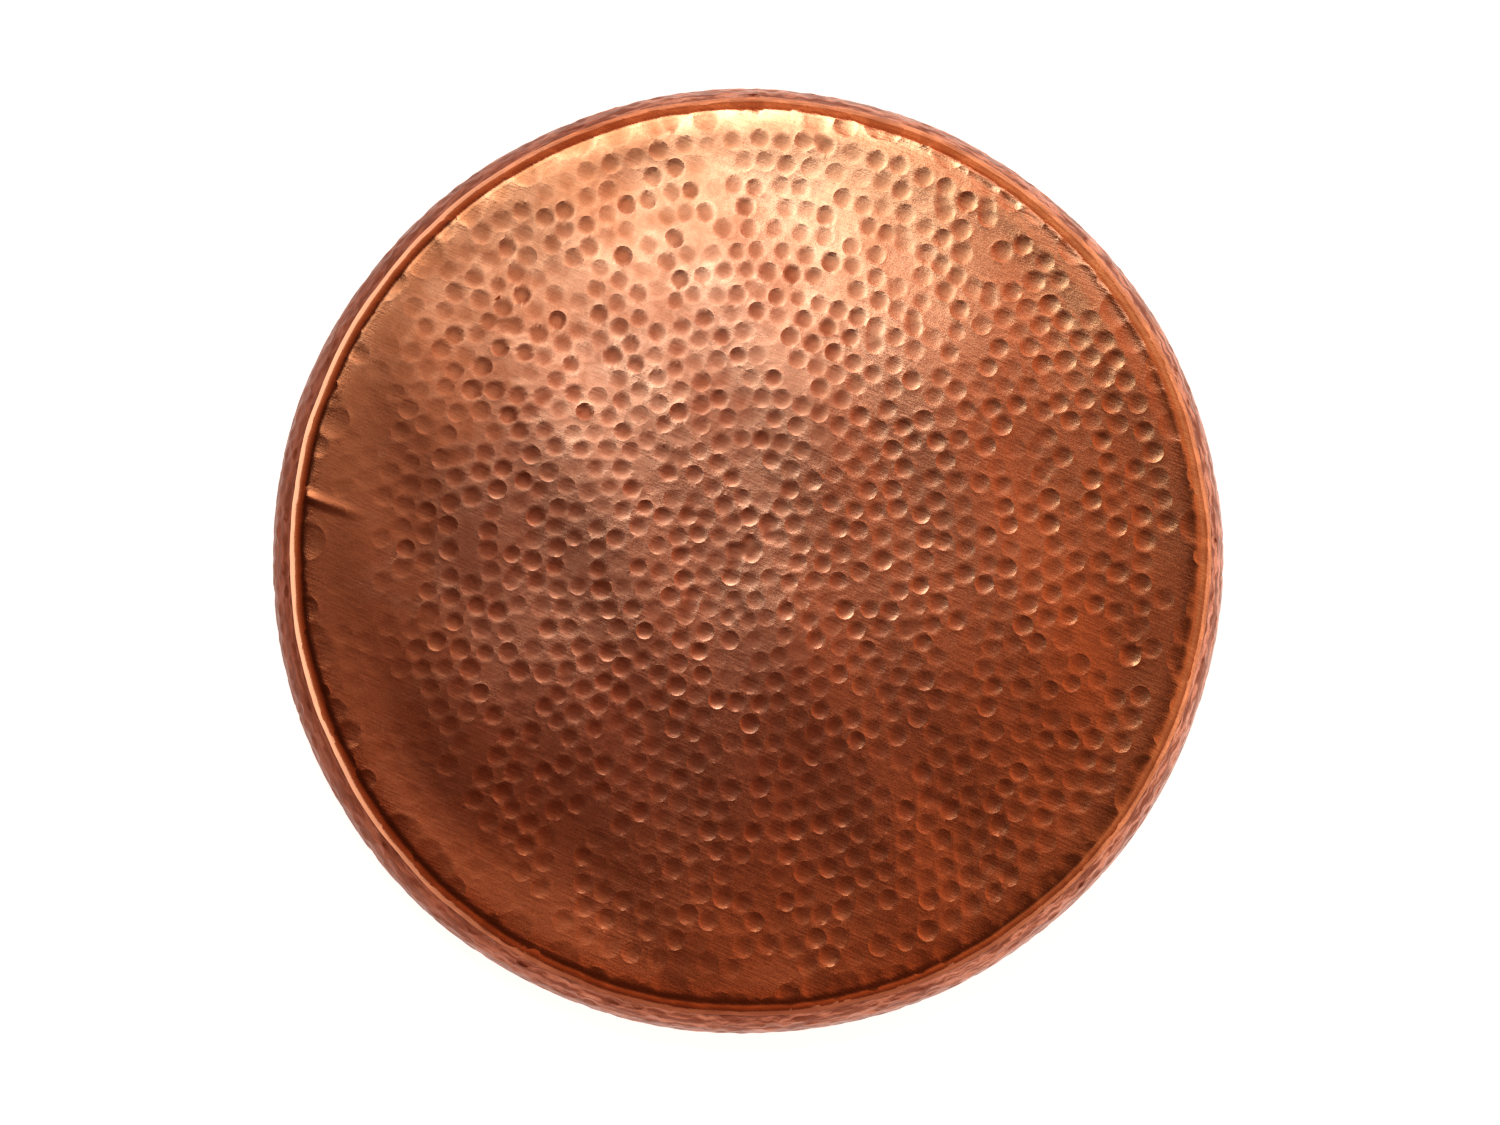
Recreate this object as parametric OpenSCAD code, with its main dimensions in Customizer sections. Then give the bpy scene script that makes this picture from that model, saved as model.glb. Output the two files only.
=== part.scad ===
// Round hammered copper tray: a floor sheet with a low recess and a turned-down lip, a bulging side
// band that the lip laps over, and a ring of wire that stiffens the band's rolled foot.
// The origin is on the table under the middle of the tray, and +Z is up. All sizes are in millimetres.

/* [Tray] */
// Outer diameter, over the belly of the side
tray_d = 600; // [450:5:800]
// Height of the rim's crest above the table
tray_h = 50; // [42:1:75]

/* [Sheet] */
// Thickness of the copper sheet
sheet_t = 1.2; // [0.8:0.1:1.8]

/* [Floor] */
// Depth of the flat floor below the crest
floor_recess = 3; // [2:0.5:12]
// Plan width of the rise from the flat floor to the crest
rise_run = 70; // [40:1:90]
// Radius of the crest, on the outer face
crest_r = 9; // [5:0.5:12]

/* [Lap] */
// Slope of the turned-down lip, in degrees below the horizontal
lip_slope = 50; // [40:1:56]
// Length of the straight lip, which is the width of the lap
lip_l = 4; // [3:0.5:8]
// Clearance between the lip and the band under it
lap_gap = 0.1; // [0.05:0.05:0.3]

/* [Side] */
// Plan distance from the edge of the lip to the belly
side_run = 12.5; // [12:0.5:18]
// Height of the belly above the table
belly_z = 12; // [8:1:15]
// Radius of the side where it tucks in below the belly
tuck_r = 32; // [20:1:60]

/* [Wired foot] */
// Diameter of the wire in the rolled foot
wire_d = 4; // [2.5:0.5:5]
// Clearance between the wire and the sheet rolled round it
wire_gap = 0.05; // [0.02:0.01:0.2]
// Angle that the sheet turns round the wire, in degrees
curl_turn = 280; // [220:5:290]

/* [Hidden] */
$fn = 180;
fewest_steps = 12;
widest_step = 5;
tray_r = tray_d / 2;

// The rise is two arcs that meet without a straight between them: the cove and the crest.
rise_slope = 2 * atan(floor_recess / rise_run);
cove_r = rise_run / sin(rise_slope) - crest_r;
crest_plan_r = tray_r - side_run - lip_l * cos(lip_slope) - crest_r * sin(lip_slope);
crest_c = [crest_plan_r, tray_h - crest_r];
cove_c = [crest_plan_r - rise_run, tray_h - floor_recess + cove_r];

// Down the lip, out of the lip, and the edge of the lip on its outer face
down = [cos(lip_slope), -sin(lip_slope)];
out = [sin(lip_slope), cos(lip_slope)];
lip_edge = crest_c + crest_r * out + lip_l * down;

// The band starts under the lip, runs on down the same slope, and bends to plumb at the belly. A tall
// band has a plumb stretch under the bend.
band_edge = lip_edge - (sheet_t + lap_gap) * out;
fall = band_edge[1] - belly_z;
spread = tray_r - band_edge[0];
bend_sweep = 90 - lip_slope;
bend_run = 1 - cos(bend_sweep);
bend_r = min(fall * cos(lip_slope) - spread * sin(lip_slope), spread) / bend_run;
slant_l = (spread - bend_r * bend_run) / cos(lip_slope);
plumb_l = fall - slant_l * sin(lip_slope) - bend_r * sin(bend_sweep);
bend_c = [tray_r - bend_r, belly_z + plumb_l];

// The curl of the foot touches the table and runs smoothly into the tuck of the side.
curl_r = wire_d / 2 + wire_gap + sheet_t;
tuck_sweep = asin((belly_z - curl_r) / (tuck_r - curl_r));
tuck_c = [tray_r - tuck_r, belly_z];
wire_c = [tuck_c[0] + (tuck_r - curl_r) * cos(tuck_sweep), curl_r];

// Points of an arc about c from angle a to angle b, close enough that the chords keep clear of the wire
function arc(c, r, a, b) =
    let (steps = max(fewest_steps, ceil(abs(b - a) / widest_step)))
    [for (i = [0 : steps]) let (t = a + (b - a) * i / steps) c + r * [cos(t), sin(t)]];

function reversed(path) = [for (i = [len(path) - 1 : -1 : 0]) path[i]];

// Section of the floor sheet from the middle to the edge of the lip, in metal depth d from its outer face
function floor_line(d) = concat(
    [[0, tray_h - floor_recess - d]],
    arc(cove_c, cove_r + d, -90, -90 + rise_slope),
    arc(crest_c, crest_r - d, 90 + rise_slope, 90 - lip_slope),
    [lip_edge - d * out]
);

// Section of the side band from under the lip to the end of the curl, at the same depth d
function band_line(d) = concat(
    [band_edge - lip_l * down - d * out],
    arc(bend_c, bend_r - d, bend_sweep, 0),
    arc(tuck_c, tuck_r - d, 0, -tuck_sweep),
    arc(wire_c, curl_r - d, -tuck_sweep, -tuck_sweep - curl_turn)
);

module sheet(outer_line, inner_line) {
    rotate_extrude()
        polygon(concat(outer_line, reversed(inner_line)));
}

// Hammered floor with its rise, rounded crest and turned-down lip
module floor_sheet() {
    color("peru")
        sheet(floor_line(0), floor_line(sheet_t));
}

// Bulging wall under the lip, with its foot rolled inwards round the wire
module side_band() {
    color("sienna")
        sheet(band_line(0), band_line(sheet_t));
}

// Ring of steel wire inside the rolled foot
module edge_wire() {
    color("slategray")
        rotate_extrude()
            translate(wire_c)
                circle(d = wire_d);
}

floor_sheet();
side_band();
edge_wire();
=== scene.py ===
"""Hammered copper tray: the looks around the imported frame."""

import math
import random

import bmesh
import bpy
import numpy as np
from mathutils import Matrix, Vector


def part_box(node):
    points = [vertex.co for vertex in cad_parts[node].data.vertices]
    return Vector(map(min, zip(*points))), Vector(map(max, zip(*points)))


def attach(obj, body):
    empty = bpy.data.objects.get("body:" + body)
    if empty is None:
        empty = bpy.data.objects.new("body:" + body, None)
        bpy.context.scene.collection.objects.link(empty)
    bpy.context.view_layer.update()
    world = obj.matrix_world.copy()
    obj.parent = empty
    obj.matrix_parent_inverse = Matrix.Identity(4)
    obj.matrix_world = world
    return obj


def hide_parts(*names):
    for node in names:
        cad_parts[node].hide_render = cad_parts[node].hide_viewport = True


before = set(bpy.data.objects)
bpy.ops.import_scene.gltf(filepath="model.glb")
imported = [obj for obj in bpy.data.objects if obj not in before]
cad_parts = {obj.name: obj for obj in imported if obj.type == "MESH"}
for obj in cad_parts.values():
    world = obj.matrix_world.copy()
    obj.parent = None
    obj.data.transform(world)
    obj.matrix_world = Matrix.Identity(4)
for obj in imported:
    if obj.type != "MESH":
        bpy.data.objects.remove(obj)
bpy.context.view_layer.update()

MM = 0.001
TAU = 2 * math.pi
QUARTER = math.pi / 2

# ---------------------------------------------------------------- sizes, worked out from the frame
floor_low, floor_high = (Vector(c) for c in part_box("floor_sheet"))
band_low, band_high = (Vector(c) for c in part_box("side_band"))
wire_low, wire_high = (Vector(c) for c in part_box("edge_wire"))

SHEET = 1.2 * MM
LAP_GAP = 0.1 * MM
TRAY_R = band_high.x
CREST_Z = floor_high.z
RECESS = 3 * MM
RISE_RUN = 70 * MM
CREST_R = 9 * MM
LIP_SLOPE = math.radians(50)
LIP_L = 4 * MM
BELLY_Z = 12 * MM
TUCK_R = 32 * MM
CURL_TURN = math.radians(280)
WIRE_R = (wire_high.z - wire_low.z) / 2
WIRE_GAP = 0.05 * MM
CURL_R = WIRE_R + WIRE_GAP + SHEET


def polar(radius, angle):
    return np.array([radius * math.cos(angle), radius * math.sin(angle)])


RISE_SLOPE = 2 * math.atan(RECESS / RISE_RUN)
COVE_R = RISE_RUN / math.sin(RISE_SLOPE) - CREST_R
LIP_OUT = polar(1, QUARTER - LIP_SLOPE)
LIP_DOWN = polar(1, -LIP_SLOPE)
LIP_EDGE_R = floor_high.x
CREST_C = np.array([LIP_EDGE_R, CREST_Z - CREST_R]) - (CREST_R * LIP_OUT + LIP_L * LIP_DOWN) * [1, 0]
COVE_C = np.array([CREST_C[0] - RISE_RUN, CREST_Z - RECESS + COVE_R])
LIP_EDGE = CREST_C + CREST_R * LIP_OUT + LIP_L * LIP_DOWN

BAND_EDGE = LIP_EDGE - (SHEET + LAP_GAP) * LIP_OUT
FALL = BAND_EDGE[1] - BELLY_Z
SPREAD = TRAY_R - BAND_EDGE[0]
BEND_RUN = 1 - math.cos(QUARTER - LIP_SLOPE)
BEND_R = (FALL * math.cos(LIP_SLOPE) - SPREAD * math.sin(LIP_SLOPE)) / BEND_RUN
BEND_C = np.array([TRAY_R - BEND_R, BELLY_Z])
TUCK_SWEEP = math.asin((BELLY_Z - CURL_R) / (TUCK_R - CURL_R))
TUCK_C = np.array([TRAY_R - TUCK_R, BELLY_Z])
WIRE_C = np.array([TUCK_C[0] + (TUCK_R - CURL_R) * math.cos(TUCK_SWEEP), CURL_R])


# ---------------------------------------------------------------- section lines of the sheet
class Line:
    """Outer face of a sheet in section: straights and arcs end to end, read by the distance along it."""

    def __init__(self, start):
        self.start = np.array(start, float)
        self.end = self.start
        self.length = 0.0
        self.parts = []

    def straight(self, to):
        to = np.array(to, float)
        run = float(np.linalg.norm(to - self.end))
        self.parts.append((self.length, run, "straight", self.end, (to - self.end) / run))
        self.length += run
        self.end = to
        return self

    def arc(self, centre, radius, a, b):
        """An arc about centre; bends to the right of the way along when b < a."""
        run = abs(b - a) * radius
        self.parts.append((self.length, run, "arc", centre, (radius, a, b)))
        self.length += run
        self.end = centre + polar(radius, b)
        return self

    def at(self, s):
        """Points and outward normals, as (n, 2) arrays of radius and height, at distances s."""
        s = np.clip(np.asarray(s, float), 0, self.length)
        point = np.zeros((len(s), 2))
        normal = np.zeros((len(s), 2))
        for begin, run, kind, where, how in self.parts:
            on = (s >= begin - 1e-12) & (s <= begin + run + 1e-12)
            t = s[on] - begin
            if kind == "straight":
                point[on] = where + t[:, None] * how
                normal[on] = [-how[1], how[0]]
            else:
                radius, a, b = how
                angle = a + (b - a) * t / run
                ray = np.stack([np.cos(angle), np.sin(angle)], axis=1)
                point[on] = where + radius * ray
                normal[on] = ray if b < a else -ray
        return point, normal


FLOOR_LINE = (
    Line([0, CREST_Z - RECESS])
    .straight([COVE_C[0], CREST_Z - RECESS])
    .arc(COVE_C, COVE_R, -QUARTER, -QUARTER + RISE_SLOPE)
    .arc(CREST_C, CREST_R, QUARTER + RISE_SLOPE, QUARTER - LIP_SLOPE)
    .straight(LIP_EDGE)
)
CREST_ARC = 2  # its place among the floor line's parts
CREST_START = FLOOR_LINE.parts[CREST_ARC][0]
BAND_LINE = (
    Line(BAND_EDGE - LIP_L * LIP_DOWN)
    .straight(BEND_C + polar(BEND_R, QUARTER - LIP_SLOPE))
    .arc(BEND_C, BEND_R, QUARTER - LIP_SLOPE, 0)
    .arc(TUCK_C, TUCK_R, 0, -TUCK_SWEEP)
    .arc(WIRE_C, CURL_R, -TUCK_SWEEP, -TUCK_SWEEP - CURL_TURN)
)
CURL_ARC = 3
SIDE_L = BAND_LINE.parts[CURL_ARC][0]
BAND_AROUND = TAU * (TRAY_R - 8 * MM)


# ---------------------------------------------------------------- hammer marks
# A blow pushes up a low ridge round its mark: this share of the depth, over this distance.
PUSHED = 0.3
PUSHED_REACH = 3.2 * MM
# The higher this power, the flatter the bottom of a mark and the steeper its edge.
DISH_POWER = 2.8
# A grid face counts as folded when a corner keeps less than this share of its turn.
LEAST_TURN = 0.12
# Points on a mark's edge are hidden within this share of another mark's radius.
WELL_INSIDE = 0.97
# Size of the squares in which points are looked up
LOOKUP_CELL = 12 * MM


def corner_turns(points, columns):
    """Cross product at each corner of each face of a grid of points."""
    grid = points.reshape(-1, columns, 2)
    ring = [grid[:-1, :-1], grid[:-1, 1:], grid[1:, 1:], grid[1:, :-1]]
    turns = []
    for k in range(4):
        ahead = ring[(k + 1) % 4] - ring[k]
        behind = ring[k - 1] - ring[k]
        turns.append(ahead[..., 0] * behind[..., 1] - ahead[..., 1] * behind[..., 0])
    return np.stack(turns)


def put_back_folds(moved, flat, rim, columns):
    """Puts back the points round each grid face that the snapping has folded or flattened."""
    folded = (corner_turns(moved, columns) / corner_turns(flat, columns)).min(axis=0) < LEAST_TURN
    loose = np.zeros((len(flat) // columns, columns), bool)
    for rows in (slice(None, -1), slice(1, None)):
        for cells in (slice(None, -1), slice(1, None)):
            loose[rows, cells] |= folded
    loose = loose.ravel()
    moved[loose] = flat[loose]
    rim[loose] = -1


class Marks:
    """Round hammer marks on a flat development of the sheet: centres, radii and depths."""

    def __init__(self, rows, wrap=None):
        rows = np.array(rows)
        if wrap:
            low, high = rows[rows[:, 0] < 0.1 * wrap].copy(), rows[rows[:, 0] > 0.9 * wrap].copy()
            low[:, 0] += wrap
            high[:, 0] -= wrap
            rows = np.concatenate([rows, low, high])
        self.centre, self.radius, self.depth = rows[:, :2], rows[:, 2], rows[:, 3]

    def near(self, points, reach):
        """Yields each mark's index with the indices of the points within its radius plus reach."""
        keys = np.floor(points / LOOKUP_CELL).astype(int)
        order = np.lexsort((keys[:, 1], keys[:, 0]))
        table = {}
        for i in order:
            table.setdefault((keys[i, 0], keys[i, 1]), []).append(i)
        for k, (centre, radius) in enumerate(zip(self.centre, self.radius)):
            low = np.floor((centre - radius - reach) / LOOKUP_CELL).astype(int)
            high = np.floor((centre + radius + reach) / LOOKUP_CELL).astype(int)
            close = [
                i
                for a in range(low[0], high[0] + 1)
                for b in range(low[1], high[1] + 1)
                for i in table.get((a, b), ())
            ]
            if close:
                close = np.array(close)
                gap = np.linalg.norm(points[close] - centre, axis=1)
                within = gap < radius + reach
                yield k, close[within], gap[within]

    def snap(self, points, reach):
        """Moves points within reach of a mark's edge on to it, and says which mark each one is on."""
        best = np.full(len(points), reach)
        moved = points.copy()
        rim = np.full(len(points), -1)
        for k, close, gap in self.near(points, reach):
            off = np.abs(gap - self.radius[k])
            nearer = off < best[close]
            i, g = close[nearer], gap[nearer]
            best[i] = off[nearer]
            rim[i] = k
            ray = (points[i] - self.centre[k]) / g[:, None]
            moved[i] = self.centre[k] + ray * self.radius[k]
        return moved, rim

    def covered(self, points, rim):
        """Says which points on one mark's edge lie within another mark."""
        hidden = np.zeros(len(points), bool)
        for k, close, gap in self.near(points, 0):
            hidden[close[(rim[close] != k) & (gap < WELL_INSIDE * self.radius[k])]] = True
        return hidden

    def depths(self, points):
        """Depth of the hammered face below the plain sheet; pushed-up metal has a negative depth."""
        deep = np.full(len(points), -1.0)
        raised = np.zeros(len(points))
        for k, close, gap in self.near(points, PUSHED_REACH):
            push = PUSHED * self.depth[k]
            share = gap / self.radius[k]
            inside = share <= 1
            dish = (self.depth[k] + push) * (1 - share[inside] ** DISH_POWER) - push
            deep[close[inside]] = np.maximum(deep[close[inside]], dish)
            ring = close[~inside]
            away = (gap[~inside] - self.radius[k]) / PUSHED_REACH
            raised[ring] = np.maximum(raised[ring], push * (1 - away) ** 2)
        return np.where(deep > -1, deep, -raised)


# The floor's marks, by their distance from the middle along the sheet
FIRST_RING = 20 * MM
LAST_RING = 273 * MM
LAST_STRIKE = 267 * MM
MIDDLE_MARKS = 9
PITCH = 13.0 * MM
LEAST_PITCH = 12.5 * MM
MOST_PITCH = 16.6 * MM
# The marks fade out towards the rim, and do so further in on one side.
FADE_FROM = 262 * MM
FADE_DRAWN_IN = 52 * MM
FADE_RUN = 34 * MM
FAINTEST = 0.24
SHALLOWEST = 0.04 * MM
# Large shallow facets flatten the crest.
CREST_FACETS = 120


def floor_marks():
    """Rings of hammer marks, struck from the middle outwards, that fade towards the rim on one side."""
    draw = random.Random(11)
    rows = []

    def strike(radius, angle, size, depth):
        turn = (angle / TAU + 0.5) % 1 - 0.5
        fading_side = math.exp(-(((turn - 0.54 + 1.5) % 1 - 0.5) / 0.16) ** 2)
        starts = FADE_FROM - FADE_DRAWN_IN * fading_side
        fade = min(1, max(FAINTEST, 1 - (radius - starts) / FADE_RUN))
        if radius < LAST_STRIKE and fade * depth > SHALLOWEST:
            rows.append([radius * math.cos(angle), radius * math.sin(angle), size, depth * fade])

    for _ in range(MIDDLE_MARKS):
        strike(draw.uniform(2, 19) * MM, draw.uniform(0, TAU), draw.uniform(4.8, 5.6) * MM, 0.28 * MM)
    radius, phase, count = FIRST_RING, 0.0, 0
    while radius < LAST_RING:
        out = radius / LAST_RING
        pitch = TAU * radius / count if count else 0
        if not LEAST_PITCH < pitch < MOST_PITCH:
            count = round(TAU * radius / PITCH)
        phase += TAU / count * (0.5 + draw.uniform(-0.06, 0.1))
        skipped = 0.03 + 0.04 * out
        for i in range(count):
            if draw.random() < skipped:
                continue
            angle = phase + TAU * (i + draw.gauss(0, 0.06)) / count
            size = (5.8 + 0.8 * out + draw.gauss(0, 0.3)) * MM
            depth = min(0.4, max(0.06, draw.gauss(0.21, 0.07))) * MM
            far = radius + draw.gauss(0, 0.6 + 0.6 * out) * MM
            strike(far, angle, size, depth)
            struck_twice = draw.random() < 0.03
            if struck_twice:
                strike(far + draw.uniform(3, 6) * MM, angle + 4 * MM / far, size * 0.9, depth * 0.8)
        radius += (12.2 + 2.2 * out) * MM
    for i in range(CREST_FACETS):
        angle = TAU * (i + draw.random()) / CREST_FACETS
        far = draw.uniform(273, 287) * MM
        size = draw.uniform(6, 12) * MM
        rows.append([far * math.cos(angle), far * math.sin(angle), size, draw.uniform(0.1, 0.3) * MM])
    return Marks(rows)


# The side's marks, in rows by their distance down the side
FIRST_ROW = 8 * MM
ROW_STEP = 10.2 * MM
SIDE_PITCH = 12.5 * MM


def band_marks():
    """Hammer marks in staggered rows round the side, from under the lip down to the foot."""
    draw = random.Random(29)
    rows = []
    height = FIRST_ROW
    while height < SIDE_L - 3 * MM:
        count = round(BAND_AROUND / SIDE_PITCH)
        phase = draw.random()
        for i in range(count):
            around = BAND_AROUND * ((i + phase + draw.gauss(0, 0.12)) / count % 1)
            size = draw.uniform(4.6, 6.4) * MM
            depth = min(1.0, max(0.2, draw.gauss(0.5, 0.15))) * MM
            rows.append([around, height + draw.gauss(0, 1.2) * MM, size, depth])
        height += ROW_STEP
    return Marks(rows, wrap=BAND_AROUND)


# ---------------------------------------------------------------- unevenness of the whole tray
def waves(seed, count, low, high):
    """A few sine waves in the plane, each as its wave number along x and along y and its phase.

    Their wavelengths lie between low and high.
    """
    draw = random.Random(seed)
    parts = []
    for _ in range(count):
        heading = draw.uniform(0, TAU)
        number = TAU / draw.uniform(low, high)
        parts.append((number * math.cos(heading), number * math.sin(heading), draw.uniform(0, TAU)))
    return parts


SHEET_WAVES = waves(5, 7, 0.07, 0.16) + waves(6, 4, 0.2, 0.4)
SHEET_SAG = 1.9 * MM
RIM_SAG = 0.6 * MM
# The crest sits to one side of the foot's centre, and is a little longer one way than the other.
CREST_SHIFT_X = 1.9 * MM
CREST_SHIFT_Y = -0.6 * MM
CREST_STRETCH = 0.004
# One stretch of the rim is hammered lower.
LEDGE_DROP = 0.65 * MM
LEDGE_ANGLE = math.radians(62)
# One radial crease starts at the rim, here, and runs inwards.
FOLD_X, FOLD_Y = -285 * MM, 36 * MM
FOLD_WAY = (0.942, -0.335)
FOLD_WIDTH = 3 * MM
FOLD_HEIGHT = 0.6 * MM


def smooth(low, high, value):
    """Rises smoothly from 0 at low to 1 at high, or falls where high is the smaller."""
    t = np.clip((value - low) / (high - low), 0, 1)
    return t * t * (3 - 2 * t)


def ripples(angle, *parts):
    """Sum of waves round the tray, each given as its height, its number of crests and its phase."""
    return sum(height * np.sin(crests * angle + phase) for height, crests, phase in parts)


def fold_height(x, y):
    """Height of the crease in the rim, from 0 to 1."""
    east, north = x - FOLD_X, y - FOLD_Y
    along = FOLD_WAY[0] * east + FOLD_WAY[1] * north
    across = FOLD_WAY[0] * north - FOLD_WAY[1] * east
    return np.exp(-((across / FOLD_WIDTH) ** 2)) * smooth(0.052, 0.02, along) * smooth(-0.004, 0.006, along)


def warp(points):
    """Sets the crest off the foot's centre, waves the sheet, and gives the rim its wobble and faults."""
    x, y, z = points.T
    angle = np.arctan2(y, x)
    radius = np.hypot(x, y)
    lift = smooth(BELLY_Z, CREST_Z, z)
    share = (radius / TRAY_R) ** 4
    wobble = ripples(angle, (0.45, 3, 1.1), (0.3, 5, 0.4), (0.25, 11, 2))
    wobble += ripples(angle, (0.22, 17, 1.3), (0.18, 29, 0)) * lift
    grown = 1 + wobble * MM * share / TRAY_R
    sag = sum(np.sin(a * x + b * y + c) for a, b, c in SHEET_WAVES) / len(SHEET_WAVES)
    inland = smooth(0.275, 0.235, radius) * lift
    rim_sag = ripples(angle, (0.35, 2, 0.7), (0.25, 7, 0), (0.15, 13, 1))
    z = z + SHEET_SAG * sag * inland + RIM_SAG * rim_sag * lift * share * (1 - inland)
    ledge = smooth(0.35, 0.85, np.cos(angle - LEDGE_ANGLE)) * smooth(0.262, 0.277, radius)
    z = z - LEDGE_DROP * ledge * lift + FOLD_HEIGHT * fold_height(x, y) * lift
    x = x * grown + CREST_SHIFT_X * lift
    y = y * (grown + CREST_STRETCH * lift) + CREST_SHIFT_Y * lift
    return np.stack([x, y, z], axis=1)


# ---------------------------------------------------------------- meshes
def read_points(bm):
    bm.verts.ensure_lookup_table()
    return np.array([v.co for v in bm.verts])


def write_points(bm, points):
    for vert, point in zip(bm.verts, points):
        vert.co = point


def disc(points):
    """Maps the square from -1 to 1 on to the unit disc, with its rings kept whole."""
    a, b = points[:, 0], points[:, 1]
    wide = np.abs(a) > np.abs(b)
    radius = np.where(wide, a, b)
    with np.errstate(divide="ignore", invalid="ignore"):
        turn = np.where(wide, b / a, a / b)
    turn = np.nan_to_num(turn) * math.pi / 4
    angle = np.where(wide, turn, QUARTER - turn)
    return np.stack([radius * np.cos(angle), radius * np.sin(angle)], axis=1)


def crease(bm, rim):
    """Splits the faces that a mark's edge crosses, and makes that edge sharp."""
    for face in list(bm.faces):
        corners = face.verts
        if len(corners) != 4:
            continue
        on = [rim[v.index] for v in corners]
        if on[0] == on[2] >= 0 and on[1] != on[0] != on[3]:
            bmesh.utils.face_split(face, corners[0], corners[2])
        elif on[1] == on[3] >= 0 and on[0] != on[1] != on[2]:
            bmesh.utils.face_split(face, corners[1], corners[3])
    for edge in bm.edges:
        a, b = edge.verts
        edge.smooth = not rim[a.index] == rim[b.index] >= 0
    for face in bm.faces:
        face.smooth = True


def finish_piece(bm, name, node, material):
    """Turns a bmesh into the piece that stands in for a node of the frame."""
    mesh = bpy.data.meshes.new(name)
    bm.to_mesh(mesh)
    bm.free()
    piece = bpy.data.objects.new(name, mesh)
    bpy.context.collection.objects.link(piece)
    mesh.materials.append(material)
    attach(piece, "root")
    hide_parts(node)
    return piece


def sheet_points(line, s, angle, depth):
    """Points at distance s along a section line, turned to an angle, at a depth under the outer face."""
    where, normal = line.at(s)
    where = where - normal * depth[:, None]
    return np.stack([where[:, 0] * np.cos(angle), where[:, 0] * np.sin(angle), where[:, 1]], axis=1)


# Cells along each side of the floor's grids, and the depth at which a mark counts as fully hollow
FACE_CELLS = 284
UNDER_CELLS = 110
FULL_DISH = 0.22 * MM
# The lip's edge is trimmed by up to this much, all of it within this distance of the edge.
TRIM = 1.1 * MM
TRIM_REACH = 6 * MM


def floor_side(bm, cells, marks, under):
    """One side of the floor sheet: a grid drawn on to a disc, then hammered and bent down at its rim."""
    grid = bmesh.new()
    bmesh.ops.create_grid(grid, x_segments=cells, y_segments=cells, size=1)
    flat = disc(read_points(grid)[:, :2]) * FLOOR_LINE.length
    rim = np.full(len(flat), -1)
    if not under:
        cell = 2 * FLOOR_LINE.length / cells
        moved, rim = marks.snap(flat, 0.5 * cell)
        covered = marks.covered(moved, rim)
        rim[covered] = -1
        moved[covered] = flat[covered]
        edge = np.hypot(*flat.T) > FLOOR_LINE.length - 2 * cell
        rim[edge] = -1
        moved[edge] = flat[edge]
        put_back_folds(moved, flat, rim, cells + 1)
        flat = moved
    s = np.hypot(*flat.T)
    angle = np.arctan2(flat[:, 1], flat[:, 0])
    deep = marks.depths(flat)
    trim = 0.5 + ripples(angle, (0.25, 23, 1), (0.15, 41, 0), (0.1, 67, 2))
    s = s - trim * TRIM * smooth(FLOOR_LINE.length - TRIM_REACH, FLOOR_LINE.length, s)
    points = sheet_points(FLOOR_LINE, s, angle, deep + (SHEET if under else 0))
    write_points(grid, warp(points))
    crease(grid, rim)
    if under:
        bmesh.ops.reverse_faces(grid, faces=grid.faces[:])
    mesh = bpy.data.meshes.new("side")
    grid.to_mesh(mesh)
    grid.free()
    for name, values in (("dish", deep / FULL_DISH), ("reach", s)):
        attribute = mesh.attributes.new(name, "FLOAT", "POINT")
        attribute.data.foreach_set("value", values.astype(np.float32))
    bm.from_mesh(mesh)
    bpy.data.meshes.remove(mesh)


def floor_sheet(material):
    """The hammered face and its underside, joined round the edge of the lip."""
    marks = floor_marks()
    bm = bmesh.new()
    floor_side(bm, FACE_CELLS, marks, under=False)
    floor_side(bm, UNDER_CELLS, marks, under=True)
    open_edges = [e for e in bm.edges if e.is_boundary]
    lip = bmesh.ops.bridge_loops(bm, edges=open_edges)
    for face in lip["faces"]:
        face.smooth = True
    for edge in open_edges:
        edge.smooth = False
    return finish_piece(bm, "hammered_floor", "floor_sheet", material)


SEAM = 0.002  # share of a turn next to the grid's seam where no point is moved
WELD = 0.002 * MM


def side_band(material):
    """The side and its rolled foot: a grid whose rows go down the outer face and back up the inner one."""
    marks = band_marks()
    around, side_rows, curl_rows = 760, 20, 14
    down = np.concatenate([
        np.linspace(0, SIDE_L, side_rows, endpoint=False),
        np.linspace(SIDE_L, BAND_LINE.length, curl_rows),
    ])
    section = np.concatenate([down, down[::-1]])
    depth = np.concatenate([np.zeros(len(down)), np.full(len(down), SHEET)])
    bm = bmesh.new()
    bmesh.ops.create_grid(bm, x_segments=around, y_segments=len(section), size=0.5)
    square = read_points(bm)[:, :2] + 0.5
    turn = square[:, 0]
    row = np.clip(np.rint(square[:, 1] * len(section)).astype(int) % len(section), 0, len(section) - 1)
    s = section[row]
    inner = depth[row] > 0
    flat = np.stack([turn * BAND_AROUND, s], axis=1)
    cell = BAND_AROUND / around
    moved, rim = marks.snap(flat, 0.5 * cell)
    keep = inner | (s < 2 * cell) | (s > SIDE_L - cell) | (turn < SEAM) | (turn > 1 - SEAM)
    keep |= marks.covered(moved, rim)
    rim[keep] = -1
    moved[keep] = flat[keep]
    put_back_folds(moved, flat, rim, around + 1)
    deep = marks.depths(moved) * smooth(LIP_L * 0.5, LIP_L * 2, moved[:, 1])
    points = sheet_points(BAND_LINE, moved[:, 1], moved[:, 0] / BAND_AROUND * TAU, deep + depth[row])
    write_points(bm, warp(points))
    crease(bm, rim)
    bmesh.ops.remove_doubles(bm, verts=bm.verts[:], dist=WELD)
    bmesh.ops.recalc_face_normals(bm, faces=bm.faces[:])
    return finish_piece(bm, "hammered_side", "side_band", material)


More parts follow.
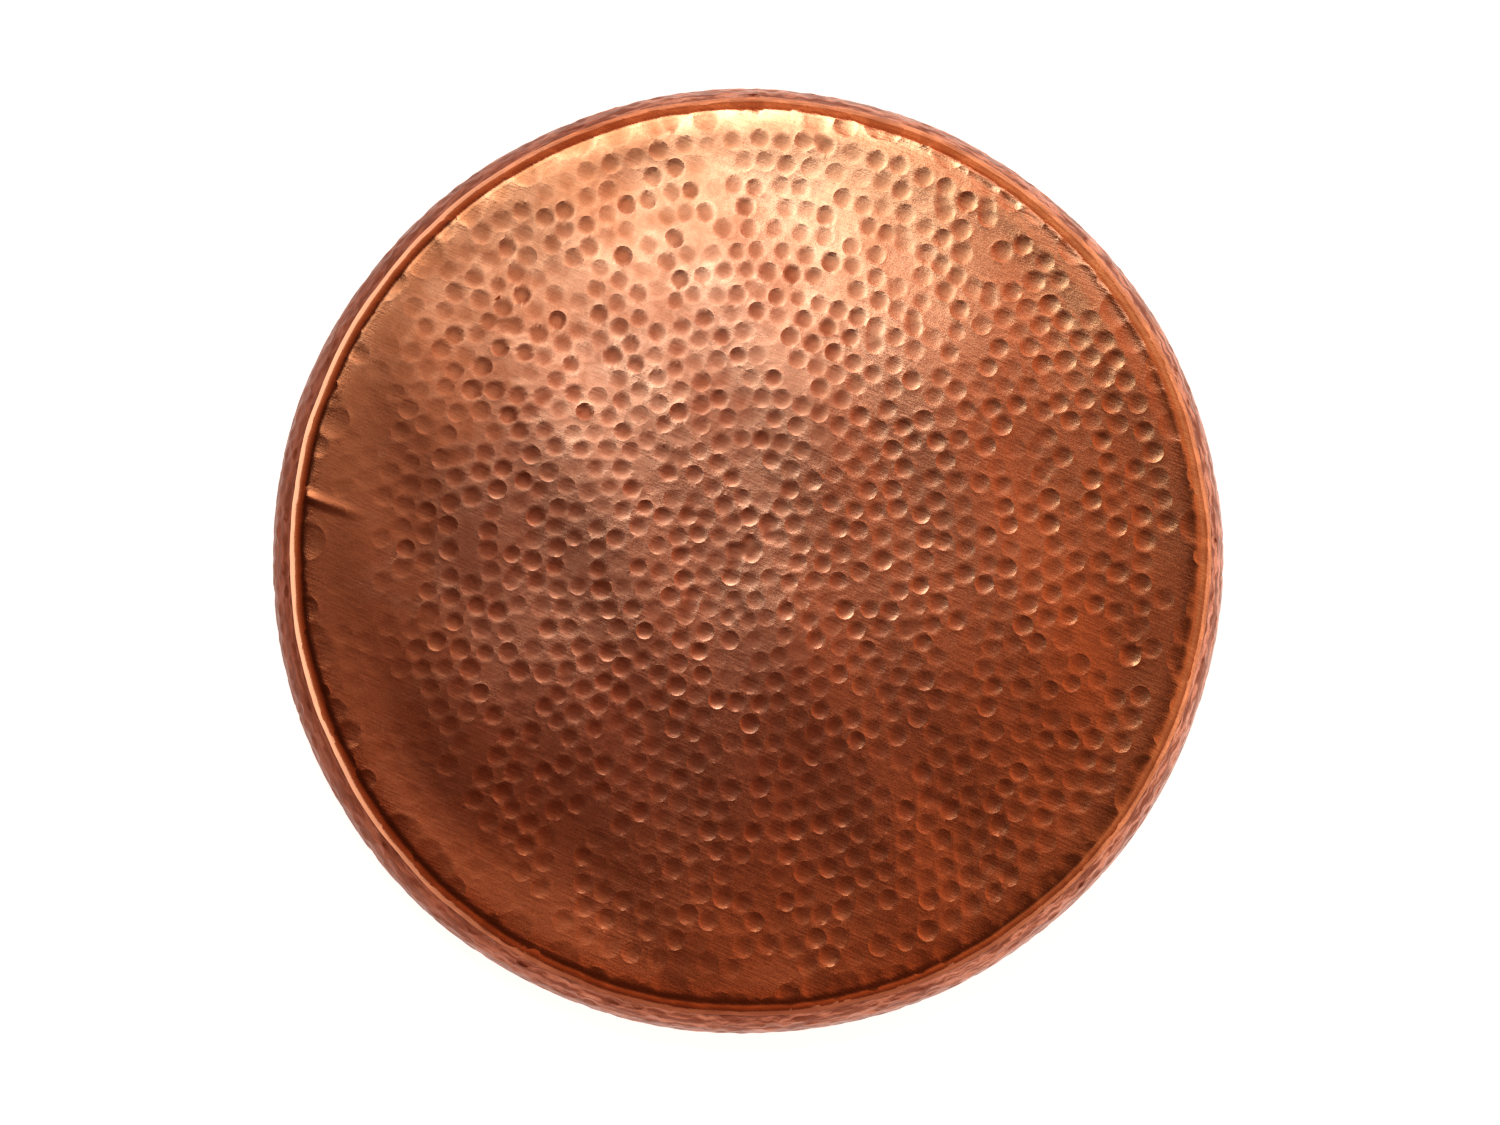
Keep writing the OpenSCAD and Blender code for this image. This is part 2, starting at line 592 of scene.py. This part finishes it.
def edge_wire(material):
    """The ring of wire in the rolled foot."""
    bm = bmesh.new()
    bmesh.ops.create_circle(bm, segments=12, radius=WIRE_R)
    for vert in bm.verts:
        vert.co = (WIRE_C[0] + vert.co.x, 0, WIRE_C[1] + vert.co.y)
    whole_turn = {"cent": (0, 0, 0), "axis": (0, 0, 1), "angle": TAU, "steps": 300, "use_merge": True}
    bmesh.ops.spin(bm, geom=bm.verts[:] + bm.edges[:], **whole_turn)
    bmesh.ops.recalc_face_normals(bm, faces=bm.faces[:])
    for face in bm.faces:
        face.smooth = True
    return finish_piece(bm, "foot_wire", "edge_wire", material)


# ---------------------------------------------------------------- materials
class Nodes:
    """The node tree of a material or world, with one way to add a node."""

    def __init__(self, block):
        self.block = block
        block.use_nodes = True
        self.tree = block.node_tree
        self.tree.nodes.clear()

    def make(self, kind, settings=None, inputs=None):
        """Adds a node; its settings are set first, then the values or links of its sockets."""
        node = self.tree.nodes.new("ShaderNode" + kind)
        for name, value in (settings or {}).items():
            if name == "stops":
                ramp = node.color_ramp
                while len(ramp.elements) > len(value):
                    ramp.elements.remove(ramp.elements[-1])
                while len(ramp.elements) < len(value):
                    ramp.elements.new(1)
                for element, (place, colour) in zip(ramp.elements, value):
                    element.position, element.color = place, colour
            else:
                setattr(node, name, value)
        for name, value in (inputs or {}).items():
            socket = node.inputs[name]
            if isinstance(value, Value):
                self.tree.links.new(value.socket, socket)
            else:
                socket.default_value = value
        return node

    def value(self, kind, settings=None, inputs=None, output=0):
        return Value(self, self.make(kind, settings, inputs).outputs[output])

    def mix(self, share, a, b):
        """Colour mix from a to b."""
        settings = {"data_type": "RGBA", "clamp_factor": True}
        return self.value("Mix", settings, {0: share, 6: a, 7: b}, output=2)

    def ramp(self, share, *stops):
        """Number that runs through the stops, each a place and the number there."""
        grey = [(place, (v, v, v, 1)) for place, v in stops]
        return self.value("ValToRGB", {"stops": grey}, {0: share})

    def noise(self, where, scale, detail, rough, distort=0.0):
        look = {"Scale": scale, "Detail": detail, "Roughness": rough, "Distortion": distort}
        return self.value("TexNoise", {}, {"Vector": where, **look})

    def vector(self, operation, a, b=None):
        inputs = {0: a} if b is None else {0: a, 1: b}
        return self.value("VectorMath", {"operation": operation}, inputs)

    def surface(self, **inputs):
        named = {key.replace("_", " "): value for key, value in inputs.items()}
        shader = self.make("BsdfPrincipled", {}, named)
        self.make("OutputMaterial", {}, {"Surface": Value(self, shader.outputs[0])})
        return self.block


class Value:
    """A socket that adds Math nodes when it is used in an expression."""

    def __init__(self, nodes, socket):
        self.nodes, self.socket = nodes, socket

    def math(self, operation, a, b):
        return self.nodes.value("Math", {"operation": operation}, {0: a, 1: b})

    def __add__(self, other):
        return self.math("ADD", self, other)

    def __radd__(self, other):
        return self.math("ADD", other, self)

    def __sub__(self, other):
        return self.math("SUBTRACT", self, other)

    def __rsub__(self, other):
        return self.math("SUBTRACT", other, self)

    def __mul__(self, other):
        return self.math("MULTIPLY", self, other)

    def __rmul__(self, other):
        return self.math("MULTIPLY", other, self)


# Copper tones, and painted light and shade fixed to places on the tray; each is a share of one of these
# laid over what is under it.
FLOOR_WORN = (0.93, 0.56, 0.40, 1)
FLOOR_AGED = (0.57, 0.22, 0.125, 1)
SIDE_WORN = (0.72, 0.39, 0.28, 1)
SIDE_AGED = (0.40, 0.16, 0.10, 1)
OUTER_WARM = (0.95, 0.45, 0.22, 1)
EAST_WARM_PAINTED_LIGHT = (0.98, 0.54, 0.28, 1)
SOUTH_WARM_PAINTED_LIGHT = (1.0, 0.52, 0.28, 1)
EAST_RIM_PAINTED_HIGHLIGHT = (1.0, 0.75, 0.55, 1)
LIP_BROWN = (0.66, 0.26, 0.11, 1)
WEST_LIP_PAINTED_HIGHLIGHT = (1.0, 0.70, 0.50, 1)
SOUTH_LIP_PAINTED_SHADE = (0.24, 0.085, 0.045, 1)
SOUTH_SIDE_PAINTED_SHADE = (0.30, 0.11, 0.06, 1)
STREAK_BROWN = (0.16, 0.045, 0.022, 1)
GRIME_AND_LAP_SHADOW = (0.07, 0.022, 0.012, 1)
GRAIN_BROWN = (0.30, 0.10, 0.05, 1)
HOLLOW_BROWN = (0.22, 0.08, 0.04, 1)
SHADED_BROWN = (0.20, 0.07, 0.035, 1)
PIT_BLACK = (0.08, 0.03, 0.015, 1)


def side_streaks(n, where, flat):
    """Noise drawn out round the tray and fine up and down, as the side's foreshortened marks leave it."""
    outwards = n.vector("NORMALIZE", flat)
    along = n.vector("MULTIPLY", outwards, (16, 16, 0))
    across = n.vector("MULTIPLY", where, (0, 0, 330))
    return n.noise(n.vector("ADD", along, across), 1, 4, 0.6)


def brushed_scratches(n, east, north):
    """Noise drawn out one way across the whole tray, as polishing leaves it."""
    long_way = (east * 0.9 - north * 0.4) * 50
    short_way = (east * 0.4 + north * 0.9) * 800
    return n.noise(n.value("CombineXYZ", {}, {0: long_way, 1: short_way}), 1, 3, 0.6)


def hammered_copper(name, worn, aged, rim_tint, streaks):
    """Copper, worn bright on the high spots and browned in the hollows, with grain, scratches and pits.

    Some of the colour is painted light and shade that stays at fixed places on the tray: painted shade on
    the west side and on the near (south) side, warm painted light on the east side and inside the lip on
    the south side, painted highlights inside the lip on the east side and on the lip on the west side, and
    a painted shadow under the lap.
    rim_tint is how much the metal warms towards the rim, and also scales the east and south painted light
    and the east painted highlight; streaks is how much of the side's streaks it has, and also scales the
    dirt with its painted shadow under the lap and the painted shade on the side's south side.
    """
    n = Nodes(bpy.data.materials.new(name))
    where = n.value("TexCoord", output=3)
    dish = n.value("Attribute", {"attribute_name": "dish"}, output=2)
    reach = n.value("Attribute", {"attribute_name": "reach"}, output=2)
    east = n.value("SeparateXYZ", {}, {0: where}, output=0)
    north = n.value("SeparateXYZ", {}, {0: where}, output=1)
    height_up = n.value("SeparateXYZ", {}, {0: where}, output=2)
    flat = n.vector("MULTIPLY", where, (1, 1, 0))
    radius = n.value("VectorMath", {"operation": "LENGTH"}, {0: flat}, output="Value")

    clouds = n.noise(where, 9, 4, 0.6)
    blotches = n.noise(where, 70, 5, 0.65, 0.6)
    streak = side_streaks(n, where, flat)
    grain = n.noise(where, 900, 3, 0.6) * 0.5 + brushed_scratches(n, east, north) * 0.5
    specks = n.value("TexVoronoi", {}, {"Vector": where, "Scale": 240.0, "Randomness": 1.0})

    # Places on the tray
    west = east * -0.9
    easterly = n.ramp(east, (0.0, 0.0), (0.22, 1.0))
    far_east = n.ramp(east, (0.12, 0.0), (0.22, 1.0))
    far_west = n.ramp(west, (0.09, 0.0), (0.24, 1.0))
    southerly = n.ramp(north * -1, (0.1, 0.0), (0.28, 1.0))
    far_south = n.ramp(north * -1, (0.16, 0.0), (0.25, 1.0))
    outer = n.ramp(radius * 3 + clouds * 0.3, (0.62, 0.0), (0.95, 1.0))
    rim = n.ramp(reach, (CREST_START - 10 * MM, 0.0), (CREST_START - 1 * MM, 1.0))
    lip = n.ramp(reach, (CREST_START + 4 * MM, 0.0), (CREST_START + 7 * MM, 1.0))
    inside_lip = 1 - lip

    # Wear, ageing and marks. The aged share also grows towards the west as painted shade, and the dark band
    # just under the lip's lap is dirt with a painted shadow of the lap.
    age_and_west_shade = n.ramp(clouds * 0.5 + blotches * 0.35 + dish * 0.12 + west, (0.34, 0.0), (0.66, 1.0))
    lines = n.ramp(streak, (0.42, 0.0), (0.56, 1.0))
    grime_and_lap_shadow = n.ramp((height_up - 0.038) * 100, (0.25, 0.0), (0.42, 1.0))
    dark_grain = n.ramp(grain, (0.40, 0.35), (0.60, 0.0))
    hollow = n.ramp(dish, (0.1, 0.0), (0.9, 1.0))
    pitted = n.ramp(blotches, (0.64, 0.0), (0.74, 1.0))
    pit = n.ramp(specks + (1 - pitted) * 0.3, (0.04, 1.0), (0.10, 0.0))

    colour = n.mix(age_and_west_shade, worn, aged)
    layers = (
        (outer * rim_tint, OUTER_WARM),
        # painted light: warmer on the east side, where the light falls
        (easterly * rim_tint, EAST_WARM_PAINTED_LIGHT),
        (lip * 0.45, LIP_BROWN),
        # painted shade: the side band darker on the near (south) side
        (southerly * (0.45 * streaks), SOUTH_SIDE_PAINTED_SHADE),
        # painted shade: the lip darker on the near (south) side
        (southerly * lip * 0.8, SOUTH_LIP_PAINTED_SHADE),
        # painted light: warmer and lighter inside the lip on the south side
        (far_south * inside_lip * rim_tint, SOUTH_WARM_PAINTED_LIGHT),
        # painted highlight: a pale band just inside the lip on the east side
        (far_east * rim * inside_lip * (2 * rim_tint), EAST_RIM_PAINTED_HIGHLIGHT),
        (lines * streaks + lines * lip * 0.3, STREAK_BROWN),
        # dirt under the lap together with a painted shadow of the lap
        (grime_and_lap_shadow * streaks, GRIME_AND_LAP_SHADOW),
        (dark_grain, GRAIN_BROWN),
        (hollow * 0.2, HOLLOW_BROWN),
        (far_west * inside_lip * 0.45, SHADED_BROWN),
        # painted highlight: the lip paler on the west side, away from the south
        (far_west * lip * (1 - southerly) * 0.7, WEST_LIP_PAINTED_HIGHLIGHT),
        (pit * 0.6, PIT_BLACK),
    )
    for share, tone in layers:
        colour = n.mix(share, colour, tone)

    rough = 0.25 + 0.10 * age_and_west_shade + 0.2 * (grain - 0.5) - 0.14 * rim
    height = grain * 1.4 + n.noise(where, 260, 3, 0.55) - pit * 0.6 + streak * (3 * streaks)
    bump = n.value("Bump", {}, {"Strength": 0.27, "Distance": 0.2 * MM, "Height": height})
    return n.surface(Base_Color=colour, Metallic=1.0, Roughness=rough, Normal=bump)


def drawn_steel():
    """Plain steel wire, dulled in clouds."""
    n = Nodes(bpy.data.materials.new("drawn_steel"))
    where = n.value("TexCoord", output=3)
    cloud = n.noise(where, 60, 4, 0.6)
    colour = n.mix(cloud, (0.36, 0.33, 0.30, 1), (0.16, 0.12, 0.09, 1))
    return n.surface(Base_Color=colour, Metallic=1.0, Roughness=0.3 + 0.3 * cloud)


# ---------------------------------------------------------------- table, light and camera
TABLE_R = 12


def table():
    """A wide pale sheet of paper that glows a little, so that it stays even round the tray."""
    bm = bmesh.new()
    bmesh.ops.create_circle(bm, cap_ends=True, segments=96, radius=TABLE_R)
    mesh = bpy.data.meshes.new("table")
    bm.to_mesh(mesh)
    bm.free()
    piece = bpy.data.objects.new("table", mesh)
    bpy.context.collection.objects.link(piece)
    n = Nodes(bpy.data.materials.new("pale_paper"))
    n.surface(
        Base_Color=(0.86, 0.86, 0.86, 1),
        Roughness=0.9,
        Specular_IOR_Level=0.1,
        Emission_Color=(0.97, 0.99, 1, 1),
        Emission_Strength=0.9,
    )
    mesh.materials.append(n.block)


def softbox(name, place, aim, size, power, colour):
    """A rectangular lamp at a place, turned to its aim."""
    light = bpy.data.lights.new(name, "AREA")
    light.shape = "RECTANGLE"
    light.size, light.size_y = size
    light.energy = power
    light.color = colour
    lamp = bpy.data.objects.new(name, light)
    lamp.location = place
    lamp.rotation_euler = (Vector(aim) - Vector(place)).to_track_quat("-Z", "Y").to_euler()
    bpy.context.collection.objects.link(lamp)


CEILING_DARK = (0.135, 0.051, 0.026, 1)
CEILING_LIT = (0.70, 0.310, 0.160, 1)
WALL_DARK = (0.50, 0.21, 0.10, 1)
WALL_LIT = (0.90, 0.55, 0.36, 1)
HORIZON = (0.9, 0.88, 0.86, 1)


def sky():
    """A dim warm room, lighter at the back and on the right, with a pale sweep along the horizon."""
    world = bpy.data.worlds.new("room")
    bpy.context.scene.world = world
    n = Nodes(world)
    way = n.make("SeparateXYZ", {}, {0: n.value("TexCoord", output=0)})
    right, back, up = (Value(n, socket) for socket in way.outputs)
    side = n.ramp(back * 0.42 + right * 0.18 + 0.5, (0.05, 0.04), (0.3, 0.12), (0.6, 0.45), (0.95, 1.0))
    low = n.ramp(up, (0.72, 1.0), (0.91, 0.0))
    above = n.ramp(back + right * 0.9, (0.07, 0.0), (0.32, 1.0))
    ceiling = n.mix(above, CEILING_DARK, CEILING_LIT)
    wall = n.mix(side, WALL_DARK, WALL_LIT)
    colour = n.mix(low, ceiling, wall)
    colour = n.mix(n.ramp(up, (0.0, 1.0), (0.09, 0.0)), colour, HORIZON)
    background = n.make("Background", {}, {"Color": colour})
    n.make("OutputWorld", {}, {"Surface": Value(n, background.outputs[0])})


CAMERA_AWAY = 2.2
CAMERA_TILT = math.radians(6.5)
CAMERA_AIM = Vector((2 * MM, -5 * MM, 14 * MM))
CAMERA_LENS = 83.6  # millimetres, on a film 36 wide


def camera():
    """Looks down on the tray, a little from the near side."""
    data = bpy.data.cameras.new("camera")
    data.sensor_width = 36
    data.lens = CAMERA_LENS
    eye = bpy.data.objects.new("camera", data)
    eye.location = CAMERA_AIM + CAMERA_AWAY * Vector((0, -math.sin(CAMERA_TILT), math.cos(CAMERA_TILT)))
    eye.rotation_euler = (CAMERA_TILT, 0, 0)
    bpy.context.collection.objects.link(eye)
    bpy.context.scene.camera = eye


# ---------------------------------------------------------------- the scene
floor_sheet(hammered_copper("hammered_copper", FLOOR_WORN, FLOOR_AGED, rim_tint=0.4, streaks=0.0))
side_band(hammered_copper("side_copper", SIDE_WORN, SIDE_AGED, rim_tint=0.0, streaks=0.75))
edge_wire(drawn_steel())
table()
sky()
softbox("overhead", (-0.135, 0.5, 1.35), (0, 0.1, 0), (0.5, 0.36), 1.95, (0.71, 0.94, 1))
softbox("overhead_right", (0.3, 0.5, 1.35), (0.1, 0.15, 0), (0.22, 0.16), 0.12, (0.85, 0.95, 1))
camera()
view = bpy.context.scene.view_settings
view.view_transform = "Standard"
view.gamma = 0.75
